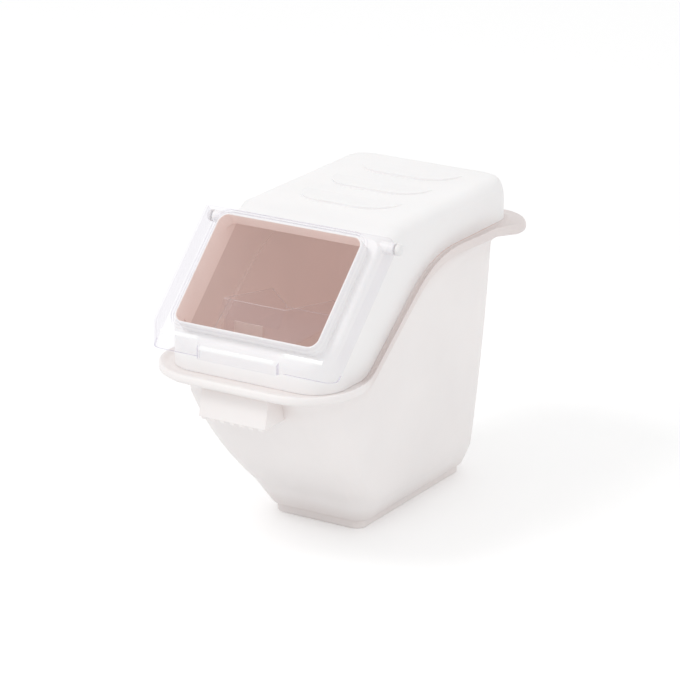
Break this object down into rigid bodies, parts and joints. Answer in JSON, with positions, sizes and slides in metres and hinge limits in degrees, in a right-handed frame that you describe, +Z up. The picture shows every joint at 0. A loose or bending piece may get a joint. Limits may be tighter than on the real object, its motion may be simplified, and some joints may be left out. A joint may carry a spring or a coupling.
{
  "type": "shelf ingredient bin",
  "caption": "White polymer shelf bin for flour, with a sloped front, a lift-off hood, a clear flap lid turning on side pins and a clear scoop hung inside.",
  "frame": {"origin": "on the underside of the plinth, under the middle of the overall box", "axes": "+Z up, -Y to the sloped front with the window, X across"},
  "size_m": [0.2946, 0.549, 0.433],
  "materials": {
    "bin": "satin moulded polyethylene",
    "hood": "satin moulded polyethylene",
    "lid": "clear polished polycarbonate",
    "pivot": "satin moulded polymer",
    "scoop": "clear polished polycarbonate"
  },
  "bodies": {
    "bin": {"bin_body": "bin"},
    "hood": {"hood": "hood", "lid_pivot_left": "pivot", "lid_pivot_right": "pivot"},
    "lid": {"window_lid": "lid"},
    "scoop": {"scoop": "scoop"}
  },
  "joints": [
    {"name": "hood_lift", "type": "slide", "parent": "bin", "child": "hood", "axis": [0, 0, 1], "range_m": [0, 0.16]},
    {"name": "lid_hinge", "type": "hinge", "parent": "hood", "child": "lid", "pos_m": [0, -0.09617, 0.40905], "axis": [-1, 0, 0], "range_deg": [0, 100]},
    {"name": "scoop_lift", "type": "slide", "parent": "hood", "child": "scoop", "axis": [0, 0, 1], "range_m": [0, 0.04]}
  ]
}
